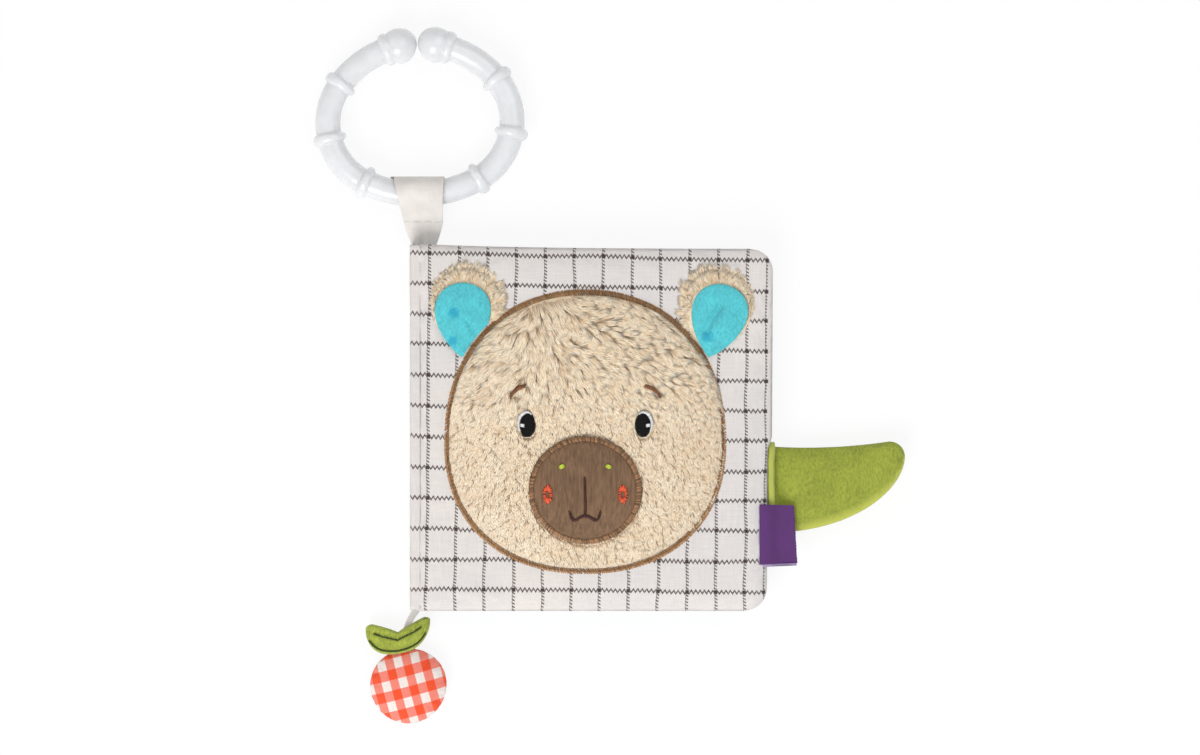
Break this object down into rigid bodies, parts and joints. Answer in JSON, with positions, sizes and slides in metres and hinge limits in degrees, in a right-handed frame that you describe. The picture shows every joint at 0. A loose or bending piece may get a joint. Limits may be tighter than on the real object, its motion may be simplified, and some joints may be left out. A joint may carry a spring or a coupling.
{
  "type": "cloth book",
  "caption": "Square padded cloth book for a baby, with a plush bear face on its cover, a clip ring on a ribbon, a leaf tab and a stuffed fruit pendant.",
  "frame": {"origin": "centre of the back cover's underside", "axes": "+X from the spine to the fore-edge, +Y up the page towards the clip ring, +Z out of the front cover"},
  "size_m": [0.2305, 0.2716, 0.0293],
  "materials": {
    "cover_cloth": "woven cotton with a dark windowpane check",
    "page_cloth": "plain light blue cotton, matte",
    "plush": "beige plush fur, matte",
    "brown_stitching": "brown satin stitch, silky",
    "turquoise_velour": "turquoise short pile velour",
    "brown_velour": "brown short pile velour",
    "black_thread": "black embroidery thread, satin",
    "white_thread": "white embroidery thread, satin",
    "green_thread": "yellow-green embroidery thread, satin",
    "orange_thread": "orange-red embroidery thread, satin",
    "dark_thread": "dark brown embroidery thread",
    "label_ribbon": "purple woven ribbon, satin",
    "green_velour": "green short pile velour",
    "ribbon": "light grey-beige woven ribbon",
    "ring_plastic": "milky white, slightly clear, glossy",
    "gingham_cloth": "orange and white gingham cotton",
    "green_felt": "green velour with satin stitches",
    "dark_green_thread": "dark green embroidery thread"
  },
  "bodies": {
    "back": {"back_cover": "cover_cloth", "spine_lower": "cover_cloth", "ring_loop": "ribbon", "pendant_ribbon": "ribbon", "pendant_fruit": "gingham_cloth", "pendant_leaf": "green_felt", "leaf_stitching": "dark_green_thread"},
    "pages": {"pages": "page_cloth", "spine_upper": "cover_cloth", "tab_leaf": "green_velour"},
    "front": {"front_cover": "cover_cloth", "head_pad": "plush", "head_border": "brown_stitching", "ear_left_back": "plush", "ear_left_lining": "turquoise_velour", "ear_right_back": "plush", "ear_right_lining": "turquoise_velour", "muzzle": "brown_velour", "muzzle_border": "brown_stitching", "eye_left": "black_thread", "eye_right": "black_thread", "eye_left_white": "white_thread", "eye_right_white": "white_thread", "brow_left": "brown_stitching", "brow_right": "brown_stitching", "nostril_left": "green_thread", "nostril_right": "green_thread", "cheek_left": "orange_thread", "cheek_right": "orange_thread", "mouth_stitch": "dark_thread", "side_label": "label_ribbon"},
    "ring": {"clip_ring": "ring_plastic"}
  },
  "joints": [
    {"name": "back_cover_open", "type": "hinge", "parent": "back", "child": "pages", "pos_m": [-0.0705, 0, 0.008], "axis": [0, -1, 0], "range_deg": [0, 145]},
    {"name": "front_cover_open", "type": "hinge", "parent": "pages", "child": "front", "pos_m": [-0.0705, 0, 0.016], "axis": [0, -1, 0], "range_deg": [0, 180]},
    {"name": "ring_swing", "type": "hinge", "parent": "back", "child": "ring", "pos_m": [-0.0669, 0.09151, 0.0069], "axis": [1, 0, 0], "range_deg": [0, 100]}
  ]
}
